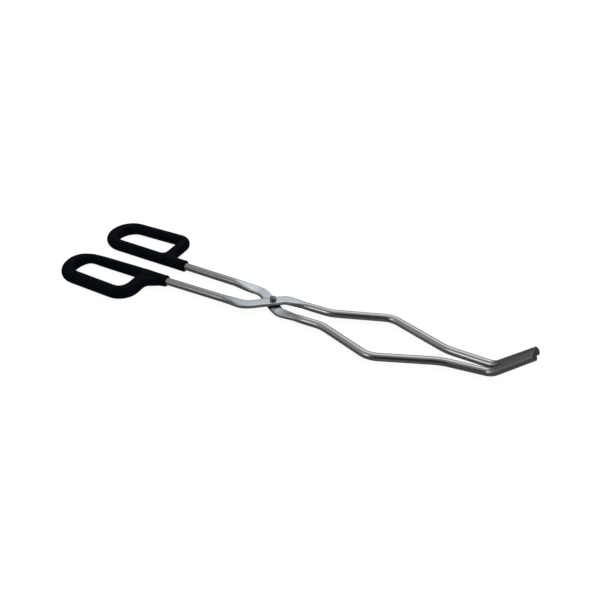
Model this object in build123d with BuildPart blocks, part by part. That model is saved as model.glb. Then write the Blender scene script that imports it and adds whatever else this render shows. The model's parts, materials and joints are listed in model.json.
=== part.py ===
"""Crucible tongs: two bent steel rods crossing at a rivet, with dipped grips on their finger loops.

Millimetres. The origin is the middle of the tongs' footprint, on the surface they lie on, with
+X towards the tips and +Z up. The top arm has its jaw at +Y and its handle at -Y. The bottom
arm is nearly its mirror image: its finger loop is shorter and its bends differ a little.

Dimensions named X, Y or Z are measured from the pivot: the rivet's axis, at the height of the
rods' centre lines. Those named Y are distances from the middle plane, so they fit either arm.
"""

import math
import os

from build123d import *

os.makedirs("parts", exist_ok=True)

# Round bar
ROD_R = 4.0

# Flattened lap where the arms cross
PRESSED_THICK = 4.0
LAP_GAP = 0.1
PRESSED_WIDTH = {"top": 11.0, "bottom": 10.4}
EYE_LENGTH = 26.0
EYE_WIDTH = 12.3
EYE_EDGE_R = 1.4
HANDLE_ROUND_X = -48.0
HANDLE_PRESSED_X = -32.0
CROSS_HANDLE = {"top": (-23.5, 17.4), "bottom": (-20.5, 15.0)}
CROSS_JAW = (10.5, 8.2)
CROSS_BEND_RADII = (20.0, 14.0)
JAW_PRESSED_X = 15.5
JAW_ROUND_X = 33.0

# Handle line, at the lap and at the back of the loop
ARM_FRONT_Y = {"top": 15.3, "bottom": 13.9}
ARM_BACK_Y = {"top": 16.0, "bottom": 18.7}

# Finger loop
LEG_FOOT_X = {"top": -146.0, "bottom": -144.8}
LEG_OUTER_X = {"top": -146.3, "bottom": -143.2}
LOOP_BACK_X = {"top": -233.9, "bottom": -227.9}
OUTER_FRONT_Y = {"top": 56.9, "bottom": 56.4}
OUTER_BACK_Y = {"top": 52.3, "bottom": 55.6}
LOOP_FRONT_R = {"top": 15.0, "bottom": 8.5}
LOOP_BACK_R = {"top": 17.5, "bottom": 18.0}

# Dipped grip
GRIP_R = 6.6
COLLAR_R = 5.8
COLLAR_END_X = {"top": -120.5, "bottom": -118.1}
COLLAR_LIP = 1.6
LIP_R = 6.1
WEB_LENGTH = {"top": 15.0, "bottom": 4.0}
WEB_HEIGHT = {"top": 6.0, "bottom": 4.0}

# Jaw, from the lap to the tip
JAW_START = (38.0, 10.6)
BOW_START = (60.0, 10.8)
BOW_MIDDLE = {"top": (117.8, 30.1), "bottom": (118.9, 32.3)}
BOW_END = (181.5, 8.8)
TIP_BEND = (228.5, 5.5)
TIP_END_Y = 4.15
TIP_ANGLE = 45.0
TIP_LENGTH = 47.5
JAW_BEND_RADII = (60.0, 35.0, 24.0, 55.0, 13.0)

# Rivet
SHANK_R = 2.5
RUNNING_CLEARANCE = 0.05
STUB_R = 3.3
STUB_HEIGHT = 4.0
STUB_CROWN_R = 1.1
TAIL_R = 4.4
TAIL_HEIGHT = 1.4
TAIL_BEVEL = 0.6

# Weld that closes each finger loop, inside the grip
WELD_R = 1.3

tip_x = TIP_BEND[0] + TIP_LENGTH * math.cos(math.radians(TIP_ANGLE))
tip_z = TIP_LENGTH * math.sin(math.radians(TIP_ANGLE))
front_x = tip_x + ROD_R * math.sin(math.radians(TIP_ANGLE))
back_x = LOOP_BACK_X["top"] - GRIP_R
PIVOT_X = -(front_x + back_x) / 2
PIVOT_Z = GRIP_R


def at(x, y, z=0.0):
    """A point given from the pivot."""
    return (PIVOT_X + x, y, PIVOT_Z + z)


def across(point, direction):
    """A sketch plane square to direction, with its own Y upwards."""
    side = Vector(0, 0, 1).cross(direction)
    return Plane(origin=point, x_dir=side, z_dir=direction)


def arm_y(name, x):
    """Distance of the handle's straight run from the middle plane, at x."""
    share = (x - HANDLE_ROUND_X) / (LOOP_BACK_X[name] - HANDLE_ROUND_X)
    return ARM_FRONT_Y[name] + share * (ARM_BACK_Y[name] - ARM_FRONT_Y[name])


def bent_bar(points, radii, radius):
    """Round bar along a line with rounded corners."""
    with BuildPart() as bar:
        with BuildLine() as path:
            FilletPolyline(*points, radius=radii)
        with BuildSketch(across(path.line @ 0, path.line % 0)):
            Circle(radius)
        sweep(path=path.line)
    return bar.part


def straight_bar(start, end, radius):
    """Round bar between two points."""
    run = Vector(*end) - Vector(*start)
    with BuildPart() as bar:
        with BuildSketch(across(start, run)):
            Circle(radius)
        extrude(amount=run.length)
    return bar.part


def closing_run(name, hand):
    """The loop's free end: from its foot on the arm, out along the front leg and half way back."""
    foot = LEG_FOOT_X[name]
    corner = LEG_OUTER_X[name]
    outer = (OUTER_FRONT_Y[name] + OUTER_BACK_Y[name]) / 2
    return (
        at(foot, hand * arm_y(name, foot)),
        at(corner, hand * OUTER_FRONT_Y[name]),
        at((corner + LOOP_BACK_X[name]) / 2, hand * outer),
    )


def carrying_run(name, hand):
    """The rest of the loop: from half way along the outer leg, round the back."""
    middle = closing_run(name, hand)[-1]
    back = LOOP_BACK_X[name]
    return (
        middle,
        at(back, hand * OUTER_BACK_Y[name]),
        at(back, hand * ARM_BACK_Y[name]),
    )


def round_face(plane, radius):
    """A circle in four arcs, to blend evenly into the four-sided pressed outline."""
    corner = radius * math.cos(math.radians(45))
    with BuildSketch(plane) as face:
        with BuildLine():
            ThreePointArc((-corner, corner), (0, radius), (corner, corner))
            ThreePointArc((corner, corner), (radius, 0), (corner, -corner))
            ThreePointArc((corner, -corner), (0, -radius), (-corner, -corner))
            ThreePointArc((-corner, -corner), (-radius, 0), (-corner, corner))
        make_face()
    return face.sketch


def pressed_face(plane, side, width):
    """Flat above and below, with round edges. side is 1 for the arm on top, -1 for the other."""
    middle = side * (PRESSED_THICK + LAP_GAP) / 2
    top = middle + PRESSED_THICK / 2
    low = middle - PRESSED_THICK / 2
    edge = (width - PRESSED_THICK) / 2
    with BuildSketch(plane) as face:
        with BuildLine():
            Line((-edge, top), (edge, top))
            ThreePointArc((edge, top), (width / 2, middle), (edge, low))
            Line((edge, low), (-edge, low))
            ThreePointArc((-edge, low), (-width / 2, middle), (-edge, top))
        make_face()
    return face.sketch


def run_out(round_plane, pressed_plane, side, width):
    """The stretch where round bar runs out into pressed bar. Both planes face towards +X."""
    with BuildPart() as neck:
        add(round_face(round_plane, ROD_R))
        add(pressed_face(pressed_plane, side, width))
        loft()
    return neck.part


def pressed_run(points, side, width):
    """The pressed bar's S-bend through the crossing."""
    with BuildPart() as lap:
        with BuildLine() as path:
            FilletPolyline(*points, radius=CROSS_BEND_RADII)
        add(pressed_face(across(path.line @ 0, path.line % 0), side, width))
        sweep(path=path.line)
    return lap.part


def rivet_eye(name, side):
    """The wider patch of the pressed bar round the rivet."""
    handle_x, handle_y = CROSS_HANDLE[name]
    jaw_x, jaw_y = CROSS_JAW
    lean = math.degrees(math.atan2(side * (jaw_y + handle_y), jaw_x - handle_x))
    low = side * (PRESSED_THICK + LAP_GAP) / 2 - PRESSED_THICK / 2
    with BuildPart() as eye:
        with BuildSketch(Plane(origin=at(0, 0, low)).rotated((0, 0, lean))):
            Ellipse(EYE_LENGTH / 2, EYE_WIDTH / 2)
        extrude(amount=PRESSED_THICK)
        fillet(eye.edges(), radius=EYE_EDGE_R)
    return eye.part


def between(start, end, x):
    """The point at x on the straight line through start and end."""
    share = (x - start[0]) / (end[0] - start[0])
    return (x, start[1] + share * (end[1] - start[1]))


def arm(name, side):
    """One rod: finger loop, handle, pressed lap with its rivet hole, jaw and tip."""
    hand = -side
    width = PRESSED_WIDTH[name]
    cross = CROSS_HANDLE[name]
    handle_front = (HANDLE_ROUND_X, ARM_FRONT_Y[name])
    handle_pressed_x, handle_pressed_y = between(handle_front, cross, HANDLE_PRESSED_X)
    jaw_pressed_x, jaw_pressed_y = between(CROSS_JAW, JAW_START, JAW_PRESSED_X)
    jaw_round_x, jaw_round_y = between(CROSS_JAW, JAW_START, JAW_ROUND_X)
    handle_round = at(HANDLE_ROUND_X, hand * ARM_FRONT_Y[name])
    handle_pressed = at(handle_pressed_x, hand * handle_pressed_y)
    loop_corner = at(LOOP_BACK_X[name], hand * ARM_BACK_Y[name])
    handle_way = Vector(*handle_round) - Vector(*loop_corner)
    cross_way = Vector(*handle_pressed) - Vector(*handle_round)
    jaw_pressed = at(jaw_pressed_x, side * jaw_pressed_y)
    jaw_round = at(jaw_round_x, side * jaw_round_y)
    jaw_way = Vector(*jaw_round) - Vector(*jaw_pressed)
    cross_handle = at(cross[0], hand * cross[1])
    cross_jaw = at(CROSS_JAW[0], side * CROSS_JAW[1])
    bends = (JAW_START, BOW_START, BOW_MIDDLE[name], BOW_END, TIP_BEND)
    jaw_line = (
        jaw_round,
        *(at(x, side * y) for x, y in bends),
        at(tip_x, side * TIP_END_Y, tip_z),
    )
    loop_front = bent_bar(closing_run(name, hand), LOOP_FRONT_R[name], ROD_R)
    handle = bent_bar((*carrying_run(name, hand), handle_round), LOOP_BACK_R[name], ROD_R)
    handle_neck = run_out(across(handle_round, handle_way), across(handle_pressed, cross_way), side, width)
    lap = pressed_run((handle_pressed, cross_handle, cross_jaw, jaw_pressed), side, width)
    eye = rivet_eye(name, side)
    jaw_neck = run_out(across(jaw_round, jaw_way), across(jaw_pressed, jaw_way), side, width)
    jaw = bent_bar(jaw_line, JAW_BEND_RADII, ROD_R)
    foot = LEG_FOOT_X[name]
    foot_y = arm_y(name, foot) + ROD_R
    weld_plane = Plane(origin=at(foot, hand * foot_y), z_dir=(0, 1, 0))
    hole_r = SHANK_R + (RUNNING_CLEARANCE if name == "top" else 0)
    with BuildPart() as rod:
        add(handle)
        add(loop_front)
        with Locations(weld_plane):
            Torus(ROD_R, WELD_R)
        add(handle_neck)
        add(lap)
        add(eye)
        add(jaw_neck)
        add(jaw)
        with BuildSketch(Plane(origin=at(0, 0, -2 * PRESSED_THICK))):
            Circle(hole_r)
        extrude(amount=4 * PRESSED_THICK, mode=Mode.SUBTRACT)
    return rod


def grip(name, side, steel):
    """The plastic skin over one finger loop, with its collar, corner web and end lip."""
    hand = -side
    leg = LEG_FOOT_X[name]
    end = COLLAR_END_X[name]
    foot = at(leg, hand * arm_y(name, leg))
    collar_end = at(end, hand * arm_y(name, end))
    lip_start = at(end - COLLAR_LIP, hand * arm_y(name, end - COLLAR_LIP))
    front = bent_bar(closing_run(name, hand), LOOP_FRONT_R[name], GRIP_R)
    back = bent_bar((*carrying_run(name, hand), foot), LOOP_BACK_R[name], GRIP_R)
    collar = straight_bar(foot, collar_end, COLLAR_R)
    lip = straight_bar(lip_start, collar_end, LIP_R)
    web_y = arm_y(name, leg)
    web = (
        (leg, hand * web_y),
        (leg + GRIP_R - 1, hand * (web_y + GRIP_R + WEB_HEIGHT[name])),
        (leg + GRIP_R + WEB_LENGTH[name], hand * (web_y + COLLAR_R / 2)),
    )
    with BuildPart() as skin:
        add(back)
        add(front)
        add(collar)
        add(lip)
        with BuildSketch(Plane(origin=at(0, 0, -COLLAR_R * 0.7))):
            with BuildLine():
                Polyline(*web, close=True)
            make_face()
        extrude(amount=2 * COLLAR_R * 0.7)
        add(steel, mode=Mode.SUBTRACT)
    return skin


def rivet():
    """The rivet: a plain stub above, a shank through both eyes and a low upset head below."""
    eye_top = PRESSED_THICK + LAP_GAP / 2
    with BuildPart() as pin:
        with BuildSketch(Plane(origin=at(0, 0, -eye_top))):
            Circle(SHANK_R)
        extrude(amount=2 * eye_top + LAP_GAP / 2)
        with BuildSketch(Plane(origin=at(0, 0, eye_top + LAP_GAP / 2))):
            Circle(STUB_R)
        extrude(amount=STUB_HEIGHT)
        fillet(pin.edges().group_by(Axis.Z)[-1], radius=STUB_CROWN_R)
        with BuildSketch(Plane(origin=at(0, 0, -eye_top))):
            Circle(TAIL_R)
        extrude(amount=-TAIL_HEIGHT)
        chamfer(pin.edges().group_by(Axis.Z)[0], length=TAIL_BEVEL)
    return pin


top_arm = arm("top", 1)
top_arm.part.label = "top_arm"
export_step(top_arm.part, "parts/top_arm.step")

bottom_arm = arm("bottom", -1)
bottom_arm.part.label = "bottom_arm"
export_step(bottom_arm.part, "parts/bottom_arm.step")

top_grip = grip("top", 1, top_arm.part)
top_grip.part.label = "top_grip"
export_step(top_grip.part, "parts/top_grip.step")

bottom_grip = grip("bottom", -1, bottom_arm.part)
bottom_grip.part.label = "bottom_grip"
export_step(bottom_grip.part, "parts/bottom_grip.step")

pivot_rivet = rivet()
pivot_rivet.part.label = "pivot_rivet"
export_step(pivot_rivet.part, "parts/pivot_rivet.step")

print("pivot at", at(0, 0, 0))
for piece in (top_arm, bottom_arm, top_grip, bottom_grip, pivot_rivet):
    solids = piece.part.solids()
    print(piece.part.label, "solids", len(solids), "volume", round(piece.part.volume, 1))
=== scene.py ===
import json
import math

import bpy
import numpy as np
from mathutils import Matrix, Vector


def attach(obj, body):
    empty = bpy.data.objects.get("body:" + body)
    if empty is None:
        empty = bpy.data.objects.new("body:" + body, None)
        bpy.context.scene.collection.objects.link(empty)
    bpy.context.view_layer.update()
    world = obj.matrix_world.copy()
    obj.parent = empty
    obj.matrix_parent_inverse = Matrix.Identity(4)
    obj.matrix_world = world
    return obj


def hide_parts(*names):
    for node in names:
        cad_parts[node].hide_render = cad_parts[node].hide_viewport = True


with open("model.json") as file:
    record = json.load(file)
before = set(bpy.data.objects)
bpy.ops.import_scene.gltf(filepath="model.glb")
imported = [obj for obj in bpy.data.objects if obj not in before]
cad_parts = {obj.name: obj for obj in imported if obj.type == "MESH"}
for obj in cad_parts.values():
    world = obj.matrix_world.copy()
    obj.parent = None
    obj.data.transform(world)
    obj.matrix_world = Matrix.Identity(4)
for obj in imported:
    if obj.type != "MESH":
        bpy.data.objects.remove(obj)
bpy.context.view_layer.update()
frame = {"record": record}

# All lengths below are millimetres from the pivot, at the height of the rods' centre lines.
MM = 0.001
PIVOT = Vector(frame["record"]["behaviour"]["joints"][0]["pos_m"])

ROD_R = 4.0
GRIP_R = 6.6
PRESSED_THICK = 4.0
LAP_GAP = 0.1
EYE_WIDTH = 12.3
EYE_REACH = 11.0
JAW_PRESSED_WIDTH = 11.3

# Per arm: hand is the side of its handle, side is +1 for the arm on top. skin is the grip's
# radius at distances along the bar from the loop's foot, since a dipped skin runs thick and thin.
# web is the rise, length, toe height and blend of the skin that fills the corner ahead of that foot.
ARMS = {
    "top": {
        "hand": -1, "side": 1, "body": "top_arm_body",
        "leg_x": -146.0, "leg_out_x": -146.3, "back_x": -233.0, "loop_r": (15.5, 17.5, 18.0),
        "front_y": 15.3, "back_y": 16.0, "outer_front_y": 56.2, "outer_back_y": 52.1,
        "round_x": -44.0, "pressed_x": -24.0, "pressed_width": 11.0,
        "cross_handle": (-23.5, 17.4),
        "bow": ((38.0, 10.6), (60.0, 10.8), (117.8, 30.1), (181.5, 8.8), (228.5, 5.5)),
        "collar_x": -120.5, "web": (11.5, 22.0, 0.6, 2.5),
        "skin": ((0, 7.2), (30, 7.4), (40, 7.05), (100, 7.25), (112, 7.4), (134, 7.35), (143, 6.6),
                 (150, 5.6), (158, 5.4), (168, 5.8), (195, 6.1), (215, 6.2), (235, 6.1), (255, 5.9)),
    },
    "bottom": {
        "hand": 1, "side": -1, "body": "bottom_arm_body",
        "leg_x": -144.8, "leg_out_x": -143.2, "back_x": -227.4, "loop_r": (8.0, 21.0, 17.0),
        "front_y": 13.9, "back_y": 18.7, "outer_front_y": 56.4, "outer_back_y": 55.6,
        "round_x": -48.0, "pressed_x": -29.0, "pressed_width": 11.2,
        "cross_handle": (-21.3, 14.7),
        "bow": ((38.0, 10.9), (60.0, 10.8), (118.9, 32.3), (181.5, 8.8), (228.5, 5.5)),
        "collar_x": -118.1, "web": (9.0, 6.0, 2.6, 2.0),
        "skin": ((0, 6.6), (20, 6.5), (35, 6.5), (50, 6.4), (100, 6.4), (112, 6.85), (126, 7.15),
                 (142, 7.2), (150, 6.6), (160, 6.6), (200, 6.5), (240, 6.3), (260, 6.1)),
    },
}
# The handle is straight as far as here, where the crossing begins.
HANDLE_FRONT_X = -42.0
JAW_PRESSED_X = 11.0
JAW_ROUND_X = 32.0
CROSS_JAW = (10.5, 8.2)
# The bends after the loop: the handle's front end, both ends of the crossing, the bow's five.
BEND_RADII = (60.0, 20.0, 14.0, 60.0, 35.0, 24.0, 55.0, 13.0)
TIP_END_Y = 4.15
TIP_ANGLE = math.radians(45.0)
TIP_LENGTH = 47.5
# The jaws turn up a little before the main bend of the tips.
TIP_RISE = 1.5

BAR_SIDES = 64
BAR_STEP = 0.8
EASING_PASSES = 8
# How much a section's power rises from 2, which is round, where the bar is pressed.
PRESSED_POWER = 5.0
# The flat is squared off and thinned from this far before it starts to widen.
EARLY_START = 7.0
# The eye keeps its full width this far from the pivot.
EYE_FULL = 3.0
# The flat changes from its handle width to its jaw width within this distance of the pivot.
WIDTH_CHANGE = 10.0
# The square ends have a small broken edge, and their face is this share of the bar's size.
BROKEN_EDGE = 0.35
END_SCALE = 0.92

# Painted shade and soot, from 0 to 1. Only so much of the other bar counts, along x. Nearer the tip
# than the jaw's reach it is painted shade between the jaws, and soot, farther from it painted shade
# under the crossing bar.
OTHER_BAR_WINDOW = 15.0
JAW_REACH = 90.0
LAP_REACH = 30.0
SOOTY_END = 0.8
CREVICE_SHADE = 0.85
TIP_SOOT = 0.22
SIDE_SHADE = 0.85

# The front leg's skin starts part way out of the arm, so it swells only the inner corners.
SKIN_START = 4.5
# The loop is split here, on its outer leg, so that its front leg can blend into the handle.
SKIN_SPLIT = 75.0
SKIN_STEP = 1.6
# The skin ends in a small bead: its height, how far back it sits and its width.
BEAD_HEIGHT, BEAD_BACK, BEAD_WIDTH = 0.25, 1.0, 1.1
WEB_RADII = (5.2, 3.6)
# The front leg and the handle blend over this much, fully near the foot and not across the loop.
FOOT_BLEND = 4.5
FOOT_NEAR, FOOT_FAR = 22.0, 45.0
COLLAR_ROUNDING = 0.9
TOP_ROUNDING = 0.6
VOXEL = 0.75


# ---------------------------------------------------------------- paths

def run_along(path):
    """The distance along the line from its start to each point."""
    gaps = np.linalg.norm(np.diff(path, axis=0), axis=1)
    return np.concatenate(([0.0], np.cumsum(gaps)))


def resample(path, step):
    """The same line with evenly spaced points."""
    run = run_along(path)
    count = max(2, int(round(run[-1] / step)) + 1)
    at = np.linspace(0.0, run[-1], count)
    return np.stack([np.interp(at, run, path[:, k]) for k in range(3)], axis=1)


def rounded_path(points, radii, step):
    """Points along straight runs joined by tangent arcs."""
    pts = [np.array(p, float) for p in points]
    out = [pts[0]]
    for a, b, c, radius in zip(pts[:-2], pts[1:-1], pts[2:], radii):
        u = (a - b) / np.linalg.norm(a - b)
        v = (c - b) / np.linalg.norm(c - b)
        half = math.acos(max(-1.0, min(1.0, float(u @ v)))) / 2
        reach = radius / math.tan(half)
        start, end = b + u * reach, b + v * reach
        mid = (u + v) / np.linalg.norm(u + v)
        centre = b + mid * radius / math.sin(half)
        out.append(start)
        turn = math.pi - 2 * half
        count = max(3, int(turn * radius / step))
        for k in range(1, count):
            t = k / count
            w0 = math.sin((1 - t) * turn) / math.sin(turn)
            w1 = math.sin(t * turn) / math.sin(turn)
            out.append(centre + w0 * (start - centre) + w1 * (end - centre))
        out.append(end)
    out.append(pts[-1])
    return resample(np.array(out), step)


def eased(path, passes):
    """Bends made gradually, as bar bends, by averaging each point with its neighbours."""
    line = path.copy()
    for _ in range(passes):
        line[1:-1] = 0.25 * line[:-2] + 0.5 * line[1:-1] + 0.25 * line[2:]
    return line


def arm_y(arm, x):
    """How far the handle's centre line is from the axis, at x."""
    share = (x - HANDLE_FRONT_X) / (arm["back_x"] - HANDLE_FRONT_X)
    return arm["front_y"] + share * (arm["back_y"] - arm["front_y"])


def arm_path(arm):
    """The bar's centre line, from its free end at the loop's foot to the tip."""
    hand, side = arm["hand"], arm["side"]
    leg, out, back = arm["leg_x"], arm["leg_out_x"], arm["back_x"]
    cross_x, cross_y = arm["cross_handle"]
    bend_x, bend_y = arm["bow"][-1]
    tip_x = bend_x + TIP_LENGTH * math.cos(TIP_ANGLE)
    tip_z = TIP_LENGTH * math.sin(TIP_ANGLE) - 0.2 * TIP_RISE
    points = [
        (leg, hand * arm_y(arm, leg), 0.0),
        (out, hand * arm["outer_front_y"], 0.0),
        (back, hand * arm["outer_back_y"], 0.0),
        (back, hand * arm["back_y"], 0.0),
        (HANDLE_FRONT_X, hand * arm["front_y"], 0.0),
        (cross_x, hand * cross_y, 0.0),
        (CROSS_JAW[0], side * CROSS_JAW[1], 0.0),
        *((x, side * y, 0.0) for x, y in arm["bow"][:-1]),
        (bend_x, side * bend_y, TIP_RISE),
        (tip_x, side * TIP_END_Y, tip_z),
    ]
    radii = (*arm["loop_r"], *BEND_RADII)
    return eased(rounded_path(points, radii, BAR_STEP), EASING_PASSES)


def directions(path):
    """Unit tangents, and side and up vectors carried along without twist."""
    way = np.gradient(path, axis=0)
    way /= np.linalg.norm(way, axis=1)[:, None]
    ups = np.zeros_like(path)
    up = np.array([0.0, 0.0, 1.0])
    for i, t in enumerate(way):
        up = up - t * float(up @ t)
        up /= np.linalg.norm(up)
        ups[i] = up
    return way, np.cross(ups, way), ups


def smooth_step(value, low, high):
    t = np.clip((value - low) / (high - low), 0.0, 1.0)
    return t * t * (3 - 2 * t)


# ---------------------------------------------------------------- meshes

def make_object(name, verts, faces, body, node, sharp=35.0):
    mesh = bpy.data.meshes.new(name)
    mesh.from_pydata([tuple(v) for v in verts], [], faces)
    mesh.validate()
    mesh.polygons.foreach_set("use_smooth", [True] * len(mesh.polygons))
    mesh.set_sharp_from_angle(angle=math.radians(sharp))
    piece = bpy.data.objects.new(name, mesh)
    bpy.context.scene.collection.objects.link(piece)
    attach(piece, body)
    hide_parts(node)
    return piece


def store_vector(piece, name, values):
    layer = piece.data.attributes.new(name, "FLOAT_VECTOR", "POINT")
    layer.data.foreach_set("vector", np.asarray(values, dtype=np.float32).ravel())


def in_frame(points):
    return np.asarray(points) * MM + np.array(PIVOT)


def ring_quads(start, rings, sides):
    """The four corners of each face between neighbouring rings of points."""
    quads = []
    for k in range(rings - 1):
        for j in range(sides):
            n = (j + 1) % sides
            a, b = start + k * sides, start + (k + 1) * sides
            quads.append((a + j, a + n, b + n, b + j))
    return quads


# ---------------------------------------------------------------- bars

def section(half_w, half_t, power, sides):
    """The bar's outline in cross-section: round at power 2, above it flat with bulged sides.

    Half of the points are spread by length and half by turning, so that corners stay smooth.
    """
    turn = np.linspace(0, 2 * math.pi, 481)
    cos, sin = np.cos(turn), np.sin(turn)
    # Thickness follows a lower power, which is also 2 where the bar is round.
    thick_power = 1.7 + 0.15 * power
    w = half_w * np.sign(cos) * np.abs(cos) ** (2.0 / power)
    t = half_t * np.sign(sin) * np.abs(sin) ** (2.0 / thick_power)
    dw, dt = np.diff(w), np.diff(t)
    run = np.concatenate(([0.0], np.cumsum(np.hypot(dw, dt))))
    facing = np.unwrap(np.arctan2(dt, dw))
    facing = np.concatenate(([facing[0]], (facing[1:] + facing[:-1]) / 2, [facing[-1]]))
    share = run / run[-1] + (facing - facing[0]) / (facing[-1] - facing[0])
    at = np.linspace(0.0, 2.0, sides, endpoint=False)
    return np.interp(at, share, w), np.interp(at, share, t)


def bar_shape(arm, path):
    """Flatness from 0 to 1, half width, half thickness and lift at each point of the line."""
    x = path[:, 0]
    start, full = arm["round_x"], arm["pressed_x"]
    jaw_end = 1 - smooth_step(x, JAW_PRESSED_X, JAW_ROUND_X)
    widened = smooth_step(x, start, full) * jaw_end
    # At the handle the section squares off sooner than the bar widens, and at both ends the
    # thinning is spread over a longer run.
    flat = smooth_step(x, start - EARLY_START, full - 6.0) * jaw_end
    pressed = smooth_step(x, start - EARLY_START, full + 6.0) * (
        1 - smooth_step(x, JAW_PRESSED_X - 2.0, JAW_ROUND_X + 10.0))
    from_pivot = np.linalg.norm(path[:, :2], axis=1)
    eye = 1 - smooth_step(from_pivot, EYE_FULL, EYE_REACH)
    onward = smooth_step(x, -WIDTH_CHANGE, WIDTH_CHANGE)
    width = arm["pressed_width"] + onward * (JAW_PRESSED_WIDTH - arm["pressed_width"])
    half_w = ROD_R + widened * ((width + eye * (EYE_WIDTH - width)) / 2 - ROD_R)
    half_t = ROD_R + pressed * (PRESSED_THICK / 2 - ROD_R)
    lift = pressed * arm["side"] * (PRESSED_THICK + LAP_GAP) / 2
    return flat, half_w, half_t, lift


def shade_and_soot_on(arm, ring, left, other):
    """How black painted shade and soot make the bar, 0 to 1, round one ring that is left millimetres
    from the tip.
    """
    clean = np.zeros(len(ring))
    x = ring[:, 0].mean()
    on_top = arm["side"] > 0
    near = other[np.abs(other[:, 0] - x) < OTHER_BAR_WINDOW]
    if len(near) == 0:
        return clean
    if left > JAW_REACH:
        if on_top or abs(x) > LAP_REACH:
            return clean
        # Painted shade on the lower bar, under the one that crosses it and along its edges.
        gap = np.linalg.norm(ring[:, None, :2] - near[None, :, :2], axis=2).min(axis=1)
        return 1 - smooth_step(gap, 6.5, 9.0)
    # Painted shade lies between the jaws at their bend, and soot over the top arm's tip.
    gap = np.linalg.norm(ring[:, None, :] - near[None], axis=2).min(axis=1)
    bend = smooth_step(left, 28.0, 40.0) * (1 - smooth_step(left, 52.0, 70.0))
    inner = CREVICE_SHADE * bend * (1 - smooth_step(gap, 5.5, 9.5))
    return np.maximum(inner, TIP_SOOT * on_top * (1 - smooth_step(left, 30.0, 40.0)))


def side_shade(flat, w, below, half_w, half_t):
    """Painted shade on the lower half of a pressed side."""
    low = smooth_step(below, -0.2 * half_t, 0.7 * half_t)
    side_face = smooth_step(np.abs(w), 0.80 * half_w, 0.93 * half_w)
    return SIDE_SHADE * flat * low * side_face


def bar_piece(name, arm):
    """The bent bar: round, pressed flat through the lap, and cut square at the tip.

    The attribute bar holds each point's place on the straight bar, in metres. The attribute
    work holds flatness from 0 to 1, metres from the tip and soot and painted shade from 0 to 1.
    """
    path = arm_path(arm)
    other = arm_path(ARMS["bottom" if arm["side"] > 0 else "top"])
    way, across, up = directions(path)
    run = run_along(path)
    flat, half_w, half_t, lift = bar_shape(arm, path)
    last = len(path) - 1
    rings = [(0, END_SCALE)] + [(i, 1.0) for i in range(last + 1)] + [(last, END_SCALE)]
    shifts = {1: BROKEN_EDGE, len(rings) - 2: -BROKEN_EDGE}
    verts, bar, work = [], [], []
    for k, (i, scale) in enumerate(rings):
        shift = shifts.get(k, 0.0)
        power = 2.0 + PRESSED_POWER * flat[i]
        w, t = section(half_w[i] * scale, half_t[i] * scale, power, BAR_SIDES)
        height = t + lift[i]
        ring = path[i] + shift * way[i] + w[:, None] * across[i] + height[:, None] * up[i]
        left = run[-1] - run[i]
        if k == len(rings) - 1:
            shade_and_soot = np.full(BAR_SIDES, SOOTY_END)
        else:
            shade_and_soot = shade_and_soot_on(arm, ring, left, other)
        # Painted shade on the lower half of each pressed side joins the rest.
        shade_and_soot = np.maximum(shade_and_soot, side_shade(flat[i], w, lift[i] - height, half_w[i], half_t[i]))
        verts.append(ring)
        bar.append(np.stack([np.full(BAR_SIDES, run[i] + shift), w, height], axis=1))
        work.append(np.column_stack([np.tile((flat[i], left * MM), (BAR_SIDES, 1)), shade_and_soot]))
    faces = ring_quads(0, len(rings), BAR_SIDES)
    first_of_last = (len(rings) - 1) * BAR_SIDES
    faces.append(tuple(range(BAR_SIDES - 1, -1, -1)))
    faces.append(tuple(first_of_last + j for j in range(BAR_SIDES)))
    piece = make_object(name, in_frame(np.concatenate(verts)), faces, arm["body"], name)
    store_vector(piece, "bar", np.concatenate(bar) * MM)
    store_vector(piece, "work", np.concatenate(work))
    return piece


# ---------------------------------------------------------------- grips

def add_tube(verts, faces, path, radius, sides=20):
    """Adds a plain closed tube to the lists."""
    _, across, up = directions(path)
    turn = np.linspace(0, 2 * math.pi, sides, endpoint=False)
    cos, sin = np.cos(turn)[:, None], np.sin(turn)[:, None]
    start = len(verts)
    for i in range(len(path)):
        verts.extend(path[i] + radius * (cos * across[i] + sin * up[i]))
    faces.extend((a, d, c, b) for a, b, c, d in ring_quads(start, len(path), sides))
    last = start + (len(path) - 1) * sides
    faces.append(tuple(start + j for j in range(sides)))
    faces.append(tuple(last + j for j in range(sides - 1, -1, -1)))


def line_distance(points, path, radii, batch=4000):
    """Distance from each point to a tube of varying radius round the line."""
    a, b = path[:-1], path[1:]
    ab = b - a
    size = (ab * ab).sum(axis=1)
    best = np.full(len(points), 1e9)
    for start in range(0, len(points), batch):
        p = points[start:start + batch]
        ap = p[:, None, :] - a[None]
        t = np.clip((ap * ab[None]).sum(axis=2) / size[None], 0.0, 1.0)
        near = ap - t[:, :, None] * ab[None]
        d = np.linalg.norm(near, axis=2) - (radii[:-1] + t * (radii[1:] - radii[:-1]))
        best[start:start + batch] = d.min(axis=1)
    return best


def blend_min(a, b, k):
    """The lower of two values, rounded over k where they cross."""
    h = np.maximum(k - np.abs(a - b), 0.0) / k
    return np.minimum(a, b) - h * h * k / 4


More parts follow.
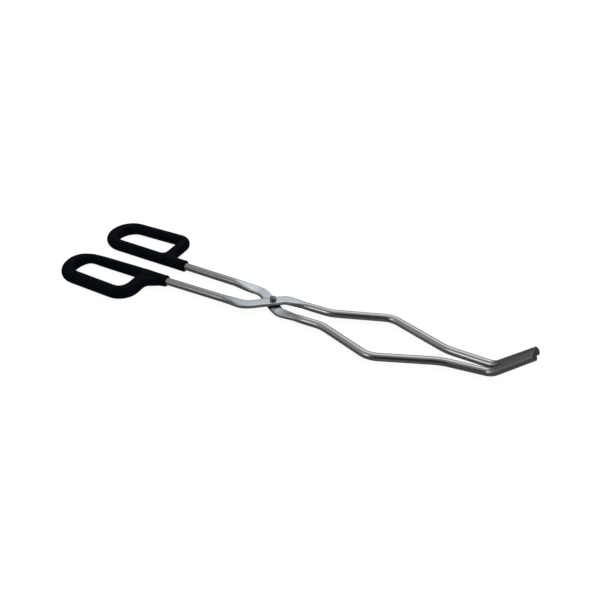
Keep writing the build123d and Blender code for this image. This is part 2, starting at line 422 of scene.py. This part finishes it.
def grip_lines(arm):
    """The lines that the skin follows, each with its radii: front leg, rest of the loop, web."""
    whole = arm_path(arm)
    run = run_along(whole)
    start = int(np.argmin(np.abs(run - SKIN_START)))
    split = int(np.argmin(np.abs(run - SKIN_SPLIT)))
    back = int(np.argmin(whole[:, 0]))
    stop = int(np.argmax((run > run[back]) & (whole[:, 0] > arm["collar_x"])))
    at, thick = np.array(arm["skin"]).T
    front = resample(whole[start:split + 1], SKIN_STEP)
    front_r = np.interp(np.linspace(run[start], run[split], len(front)), at, thick)
    rest = resample(whole[split:stop + 1], SKIN_STEP)
    rest_run = np.linspace(run[split], run[stop], len(rest))
    bead = BEAD_HEIGHT * np.exp(-((rest_run - run[stop] + BEAD_BACK) / BEAD_WIDTH) ** 2)
    rest_r = np.interp(rest_run, at, thick) + bead
    leg, hand = arm["leg_x"], arm["hand"]
    rise, length, toe_y, _ = arm["web"]
    corner = (leg + 2.4, hand * (arm_y(arm, leg) + rise), 0.0)
    toe = (leg + 6.0 + length, hand * (arm_y(arm, leg) + toe_y), 0.0)
    return (front, front_r), (rest, rest_r), (np.array([corner, toe]), np.array(WEB_RADII))


def grip_field(arm, lines):
    """The skin's surface, as a distance function of points."""
    front, rest, web = lines
    web_blend = arm["web"][3]
    foot = np.array([arm["leg_x"], arm["hand"] * arm_y(arm, arm["leg_x"]), 0.0])

    def field(points):
        away = np.linalg.norm(points - foot, axis=1)
        k = 0.01 + FOOT_BLEND * (1 - smooth_step(away, FOOT_NEAR, FOOT_FAR))
        f = blend_min(line_distance(points, *front), line_distance(points, *rest), k)
        f = blend_min(f, line_distance(points, *web), web_blend)
        # The skin is cut off at the collar and is nowhere taller than GRIP_R.
        f = -blend_min(-f, arm["collar_x"] - points[:, 0], COLLAR_ROUNDING)
        return -blend_min(-f, GRIP_R - np.abs(points[:, 2]), TOP_ROUNDING)

    return field


def settle(points, field, passes):
    """The points, moved onto the field's surface."""
    h = 0.05
    for _ in range(passes):
        value = field(points)
        grad = np.stack([field(points + np.eye(3)[k] * h) - value for k in range(3)], axis=1) / h
        size = np.maximum((grad * grad).sum(axis=1), 0.25)
        points = points - (value / size)[:, None] * grad
    return points


def even_mesh(lines):
    """A rough skin of small even faces round the grip's lines."""
    (front, _), (rest, _), (web, _) = lines
    verts, faces = [], []
    add_tube(verts, faces, front, GRIP_R)
    add_tube(verts, faces, rest, GRIP_R)
    add_tube(verts, faces, np.linspace(web[0], web[1], 8), 4.0)
    mesh = bpy.data.meshes.new("rough")
    mesh.from_pydata([tuple(v) for v in verts], [], faces)
    rough = bpy.data.objects.new("rough", mesh)
    bpy.context.scene.collection.objects.link(rough)
    even = rough.modifiers.new("even", "REMESH")
    even.mode = "VOXEL"
    even.voxel_size = VOXEL
    depsgraph = bpy.context.evaluated_depsgraph_get()
    skin = bpy.data.meshes.new_from_object(rough.evaluated_get(depsgraph))
    bpy.data.objects.remove(rough)
    return skin


def grip_piece(name, arm):
    """The dipped skin, drawn onto its distance function from a rough even mesh."""
    lines = grip_lines(arm)
    field = grip_field(arm, lines)
    skin = even_mesh(lines)
    points = np.zeros(len(skin.vertices) * 3)
    skin.vertices.foreach_get("co", points)
    points = points.reshape(-1, 3)
    edges = np.zeros(len(skin.edges) * 2, dtype=np.int64)
    skin.edges.foreach_get("vertices", edges)
    edges = edges.reshape(-1, 2)
    shell = [tuple(poly.vertices) for poly in skin.polygons]
    bpy.data.meshes.remove(skin)
    degree = np.bincount(edges.ravel(), minlength=len(points))[:, None]
    rounds = 3
    for _ in range(rounds):
        mean = np.zeros_like(points)
        np.add.at(mean, edges[:, 0], points[edges[:, 1]])
        np.add.at(mean, edges[:, 1], points[edges[:, 0]])
        points = 0.4 * points + 0.6 * mean / degree
        points = settle(points, field, 1)
    points = settle(points, field, 2)
    return make_object(name, in_frame(points), shell, arm["body"], name, 60.0)


# ---------------------------------------------------------------- rivet

def turned(profile, sides):
    """A solid turned about the pivot axis from (radius, height) points, first and last on axis."""
    verts, faces = [(0.0, 0.0, profile[0][1])], []
    for r, z in profile[1:-1]:
        for j in range(sides):
            a = 2 * math.pi * j / sides
            verts.append((r * math.cos(a), r * math.sin(a), z))
    verts.append((0.0, 0.0, profile[-1][1]))
    rows = len(profile) - 2
    last = 1 + (rows - 1) * sides
    for j in range(sides):
        n = (j + 1) % sides
        faces.append((0, 1 + n, 1 + j))
        for k in range(rows - 1):
            a, b = 1 + k * sides, 1 + (k + 1) * sides
            faces.append((a + j, a + n, b + n, b + j))
        faces.append((last + j, last + n, len(verts) - 1))
    return verts, faces


def rivet_piece():
    """A low head below, a shank through the lap and a tall round-edged head above."""
    top = PRESSED_THICK + LAP_GAP
    low = -PRESSED_THICK - LAP_GAP / 2
    shank_r, head_r, edge_r = 2.5, 3.3, 1.1
    profile = [(0.0, low - 1.4), (2.6, low - 1.4), (3.6, low - 1.2), (4.15, low - 0.8),
               (4.4, low - 0.35), (4.4, low - 0.06), (4.3, low), (shank_r, low),
               (shank_r, top - 0.001), (3.22, top), (head_r, top + 0.08)]
    for k in range(0, 11):
        a = math.radians(9.0 * k)
        profile.append((head_r - edge_r * (1 - math.cos(a)), top + 2.85 + 0.95 * math.sin(a)))
    profile += [(1.5, top + 3.9), (0.75, top + 3.97), (0.0, top + 4.0)]
    verts, faces = turned(profile, 72)
    return make_object("pivot_rivet", in_frame(verts), faces, "bottom_arm_body", "pivot_rivet",
                       40.0)


# ---------------------------------------------------------------- materials

def material(name):
    mat = bpy.data.materials.new(name)
    mat.use_nodes = True
    nodes, links = mat.node_tree.nodes, mat.node_tree.links
    return mat, nodes, links, nodes["Principled BSDF"]


def noise_node(nodes, links, vector, scale, detail, stretch=None):
    if stretch is not None:
        mapping = nodes.new("ShaderNodeMapping")
        mapping.inputs["Scale"].default_value = stretch
        links.new(vector, mapping.inputs["Vector"])
        vector = mapping.outputs["Vector"]
    tex = nodes.new("ShaderNodeTexNoise")
    tex.inputs["Scale"].default_value = scale
    tex.inputs["Detail"].default_value = detail
    links.new(vector, tex.inputs["Vector"])
    return tex.outputs["Fac"]


def ramp_node(nodes, links, value, stops):
    ramp = nodes.new("ShaderNodeValToRGB")
    first, last = ramp.color_ramp.elements[0], ramp.color_ramp.elements[1]
    first.position, first.color = stops[0][0], (*stops[0][1], 1.0)
    last.position, last.color = stops[-1][0], (*stops[-1][1], 1.0)
    for place, colour in stops[1:-1]:
        element = ramp.color_ramp.elements.new(place)
        element.color = (*colour, 1.0)
    links.new(value, ramp.inputs["Fac"])
    return ramp.outputs["Color"]


def range_node(nodes, links, value, low, high, new_low, new_high):
    node = nodes.new("ShaderNodeMapRange")
    node.inputs["From Min"].default_value = low
    node.inputs["From Max"].default_value = high
    node.inputs["To Min"].default_value = new_low
    node.inputs["To Max"].default_value = new_high
    links.new(value, node.inputs["Value"])
    return node.outputs["Result"]


def mix_node(nodes, links, factor, first, second):
    """From the first colour to the second, a plain one, as factor goes from 0 to 1."""
    node = nodes.new("ShaderNodeMix")
    node.data_type = "RGBA"
    node.inputs["B"].default_value = (*second, 1.0)
    links.new(first, node.inputs["A"])
    links.new(factor, node.inputs["Factor"])
    return node.outputs["Result"]


def add_node(nodes, links, value, extra, share):
    """value + extra * share."""
    node = nodes.new("ShaderNodeMath")
    node.operation = "MULTIPLY_ADD"
    node.inputs[1].default_value = share
    links.new(extra, node.inputs[0])
    links.new(value, node.inputs[2])
    return node.outputs[0]


def bump_node(nodes, links, height, strength, distance, before=None):
    bump = nodes.new("ShaderNodeBump")
    bump.inputs["Strength"].default_value = strength
    bump.inputs["Distance"].default_value = distance
    links.new(height, bump.inputs["Height"])
    if before is not None:
        links.new(before, bump.inputs["Normal"])
    return bump.outputs["Normal"]


def steel_material():
    """Drawn bar: draw lines along it, small dull patches, dull handles, fired tips, soot and painted
    shade.
    """
    pressed_steel = (0.70, 0.74, 0.78)
    handled_steel = (0.50, 0.51, 0.51)
    fired_steel = (0.53, 0.53, 0.525)
    shade_and_soot_black = (0.06, 0.065, 0.075)
    mat, nodes, links, shader = material("drawn_steel")
    bar = nodes.new("ShaderNodeAttribute")
    bar.attribute_name = "bar"
    vector = bar.outputs["Vector"]
    lines = noise_node(nodes, links, vector, 1.0, 2.0, (5.0, 1300.0, 1300.0))
    patches = noise_node(nodes, links, vector, 1.0, 3.0, (60.0, 240.0, 240.0))
    grain = noise_node(nodes, links, vector, 1.0, 3.0, (2200.0, 5200.0, 5200.0))
    colour = ramp_node(nodes, links, patches, [
        (0.30, (0.60, 0.61, 0.62)), (0.55, (0.66, 0.67, 0.68)), (0.75, (0.71, 0.715, 0.72))])
    work = nodes.new("ShaderNodeAttribute")
    work.attribute_name = "work"
    split = nodes.new("ShaderNodeSeparateXYZ")
    links.new(work.outputs["Vector"], split.inputs[0])
    flatness, from_tip, shade_and_soot = split.outputs["X"], split.outputs["Y"], split.outputs["Z"]
    # The pressed flats are bright and satin, the handles dull from use, and the last of the jaw
    # is dulled by the fire.
    colour = mix_node(nodes, links, flatness, colour, pressed_steel)
    handled = range_node(nodes, links, from_tip, 0.32, 0.35, 0.0, 0.7)
    colour = mix_node(nodes, links, handled, colour, handled_steel)
    dulled = range_node(nodes, links, from_tip, 0.034, 0.050, 1.0, 0.0)
    colour = mix_node(nodes, links, dulled, colour, fired_steel)
    # The black is soot, and painted shade under the crossing bar, between the jaws and on the lower
    # pressed sides.
    colour = mix_node(nodes, links, shade_and_soot, colour, shade_and_soot_black)
    rough = range_node(nodes, links, lines, 0.3, 0.75, 0.13, 0.22)
    rough = add_node(nodes, links, rough, flatness, 0.16)
    rough = add_node(nodes, links, rough, dulled, 0.14)
    shader.inputs["Metallic"].default_value = 1.0
    links.new(colour, shader.inputs["Base Color"])
    links.new(rough, shader.inputs["Roughness"])
    first = bump_node(nodes, links, lines, 0.08, 0.00004)
    second = bump_node(nodes, links, grain, 0.02, 0.00003, first)
    links.new(second, shader.inputs["Normal"])
    return mat


def pvc_material():
    """Soft black plastic from a dip: matt, with a slight skin and dull and shiny patches."""
    mat, nodes, links, shader = material("dipped_pvc")
    coords = nodes.new("ShaderNodeTexCoord").outputs["Object"]
    skin = noise_node(nodes, links, coords, 900.0, 3.0)
    waves = noise_node(nodes, links, coords, 90.0, 2.0)
    colour = ramp_node(nodes, links, waves, [
        (0.3, (0.0010, 0.0016, 0.0030)), (0.7, (0.0017, 0.0024, 0.0044))])
    rough = range_node(nodes, links, waves, 0.3, 0.7, 0.40, 0.50)
    links.new(colour, shader.inputs["Base Color"])
    links.new(rough, shader.inputs["Roughness"])
    shader.inputs["Specular IOR Level"].default_value = 0.04
    shader.inputs["Specular Tint"].default_value = (0.52, 0.70, 1.0, 1.0)
    first = bump_node(nodes, links, waves, 0.3, 0.0003)
    second = bump_node(nodes, links, skin, 0.15, 0.00004, first)
    links.new(second, shader.inputs["Normal"])
    return mat


def rivet_material():
    """Dark stained steel with small hammer marks."""
    mat, nodes, links, shader = material("rivet_steel")
    coords = nodes.new("ShaderNodeTexCoord").outputs["Object"]
    marks = noise_node(nodes, links, coords, 1100.0, 4.0)
    stain = noise_node(nodes, links, coords, 260.0, 3.0)
    colour = ramp_node(nodes, links, stain, [
        (0.3, (0.16, 0.16, 0.165)), (0.7, (0.34, 0.335, 0.33))])
    rough = range_node(nodes, links, marks, 0.3, 0.7, 0.28, 0.46)
    shader.inputs["Metallic"].default_value = 1.0
    links.new(colour, shader.inputs["Base Color"])
    links.new(rough, shader.inputs["Roughness"])
    links.new(bump_node(nodes, links, marks, 0.25, 0.00006), shader.inputs["Normal"])
    return mat


# ---------------------------------------------------------------- build

steel = steel_material()
pvc = pvc_material()
rivet_look = rivet_material()
for key, arm in ARMS.items():
    bar_piece(f"{key}_arm", arm).data.materials.append(steel)
    grip_piece(f"{key}_grip", arm).data.materials.append(pvc)
rivet_piece().data.materials.append(rivet_look)

# ---------------------------------------------------------------- floor

# In metres.
FLOOR_HALF = 6.0


def build_floor():
    """A plain pale floor. The steel reflects the studio, not this sheet."""
    half = FLOOR_HALF
    corners = [(-half, -half, 0), (half, -half, 0), (half, half, 0), (-half, half, 0)]
    mesh = bpy.data.meshes.new("floor")
    mesh.from_pydata(corners, [], [(0, 1, 2, 3)])
    floor = bpy.data.objects.new("floor", mesh)
    bpy.context.scene.collection.objects.link(floor)
    mat, _, _, shader = material("floor")
    shader.inputs["Base Color"].default_value = (0.10, 0.10, 0.10, 1.0)
    shader.inputs["Emission Color"].default_value = (1.0, 1.0, 1.0, 1.0)
    shader.inputs["Emission Strength"].default_value = 0.92
    shader.inputs["Roughness"].default_value = 0.9
    shader.inputs["Specular IOR Level"].default_value = 0.0
    floor.data.materials.append(mat)
    floor.visible_glossy = False


build_floor()

# ---------------------------------------------------------------- surroundings

# Pale patches of the studio that the steel sees: azimuth, elevation, and how far from that
# direction each is full and gone, all in degrees, then its strength.
SCREEN = (102, 50, 14, 34, 0.66)
SOFTBOX = (-113, 31, 3, 13, 1.5)
# Dark patches in the same form, with the share of the light that each takes away.
DARK_PATCHES = (
    (-70, 28, 18, 52, 0.94),     # behind the camera
    (178, -2, 18, 50, 0.62),     # beyond the handles
    (-104, -30, 6, 26, 0.50),    # low, on the camera's side
    (98, 8, 8, 22, 0.45),        # under the screen
    (144, 30, 12, 26, 0.42),     # left of the screen
)
# The direction round which reflections turn from warm to cool.
COOL_PATCH = (103, 50, 5, 45)
LOW_GREY, HIGH_GREY = 0.11, 0.29

world = bpy.data.worlds.new("studio")
bpy.context.scene.world = world
world.use_nodes = True
world_nodes, world_links = world.node_tree.nodes, world.node_tree.links
world_nodes.clear()
outward = world_nodes.new("ShaderNodeTexCoord").outputs["Generated"]


def math_node(operation, a, b):
    node = world_nodes.new("ShaderNodeMath")
    node.operation = operation
    for socket, value in zip(node.inputs, (a, b)):
        if isinstance(value, (int, float)):
            socket.default_value = value
        else:
            world_links.new(value, socket)
    return node.outputs[0]


def direction(azimuth, elevation):
    a, e = math.radians(azimuth), math.radians(elevation)
    return (math.cos(a) * math.cos(e), math.sin(a) * math.cos(e), math.sin(e))


def lobe(azimuth, elevation, inner, outer):
    """1 within inner degrees of the direction, falling smoothly to 0 at outer degrees."""
    dot = world_nodes.new("ShaderNodeVectorMath")
    dot.operation = "DOT_PRODUCT"
    world_links.new(outward, dot.inputs[0])
    dot.inputs[1].default_value = direction(azimuth, elevation)
    node = world_nodes.new("ShaderNodeMapRange")
    node.interpolation_type = "SMOOTHSTEP"
    node.inputs["From Min"].default_value = math.cos(math.radians(outer))
    node.inputs["From Max"].default_value = math.cos(math.radians(inner))
    world_links.new(dot.outputs["Value"], node.inputs["Value"])
    return node.outputs["Result"]


def patch(azimuth, elevation, inner, outer, share):
    return math_node("MULTIPLY", lobe(azimuth, elevation, inner, outer), share)


def horizon():
    """A grey that grows lighter from below the horizon to above it."""
    height = world_nodes.new("ShaderNodeSeparateXYZ")
    world_links.new(outward, height.inputs[0])
    sky = world_nodes.new("ShaderNodeMapRange")
    sky.interpolation_type = "SMOOTHSTEP"
    sky.inputs["From Min"].default_value = -0.22
    sky.inputs["From Max"].default_value = 0.30
    sky.inputs["To Min"].default_value = LOW_GREY
    sky.inputs["To Max"].default_value = HIGH_GREY
    world_links.new(height.outputs["Z"], sky.inputs["Value"])
    return sky.outputs["Result"]


def reflected_studio():
    """The background that the steel sees."""
    total = math_node("ADD", horizon(), patch(*SCREEN))
    for dark in DARK_PATCHES:
        total = math_node("MULTIPLY", total, math_node("SUBTRACT", 1.0, patch(*dark)))
    total = math_node("ADD", total, patch(*SOFTBOX))
    tint = world_nodes.new("ShaderNodeMix")
    tint.data_type = "RGBA"
    tint.inputs["A"].default_value = (1.0, 0.99, 0.975, 1.0)
    tint.inputs["B"].default_value = (0.955, 0.985, 1.02, 1.0)
    world_links.new(lobe(*COOL_PATCH), tint.inputs["Factor"])
    background = world_nodes.new("ShaderNodeBackground")
    world_links.new(total, background.inputs["Strength"])
    world_links.new(tint.outputs["Result"], background.inputs["Color"])
    return background.outputs[0]


def build_world():
    """Plain white light all round, except that reflections see the studio's patches."""
    plain = world_nodes.new("ShaderNodeBackground")
    plain.inputs["Color"].default_value = (1.0, 1.0, 1.0, 1.0)
    plain.inputs["Strength"].default_value = 0.97
    ray = world_nodes.new("ShaderNodeLightPath")
    mix = world_nodes.new("ShaderNodeMixShader")
    world_links.new(ray.outputs["Is Glossy Ray"], mix.inputs["Fac"])
    world_links.new(plain.outputs[0], mix.inputs[1])
    world_links.new(reflected_studio(), mix.inputs[2])
    output = world_nodes.new("ShaderNodeOutputWorld")
    world_links.new(mix.outputs[0], output.inputs["Surface"])


build_world()

# ---------------------------------------------------------------- lamp and camera

# A large soft lamp overhead, placed in metres, aimed at the pivot and left out of reflections.
LAMP_PLACE = Vector((0.3, 0.5, 1.8))
# In millimetres from the pivot.
CAMERA_PLACE = Vector((329.84, -549.13, 492.55))

lamp_data = bpy.data.lights.new("overhead", "AREA")
lamp_data.shape = "DISK"
lamp_data.size = 1.6
lamp_data.energy = 14.0
lamp = bpy.data.objects.new("overhead", lamp_data)
lamp.location = LAMP_PLACE
lamp.rotation_euler = (PIVOT - LAMP_PLACE).to_track_quat("-Z", "Y").to_euler()
lamp.visible_glossy = False
bpy.context.scene.collection.objects.link(lamp)

camera_data = bpy.data.cameras.new("camera")
camera_data.lens = 47.625
camera_data.sensor_width = 36.0
camera_data.clip_start = 0.01
camera = bpy.data.objects.new("camera", camera_data)
bpy.context.scene.collection.objects.link(camera)
right = Vector((0.8863, 0.4626, -0.0228)).normalized()
ahead = Vector((-0.3798, 0.6978, -0.6073)).normalized()
right = (right - ahead * right.dot(ahead)).normalized()
up = right.cross(ahead)
turn = Matrix((right, up, -ahead)).transposed().to_4x4()
camera.matrix_world = Matrix.Translation(PIVOT + CAMERA_PLACE * MM) @ turn
bpy.context.scene.camera = camera
bpy.context.scene.view_settings.view_transform = "Standard"
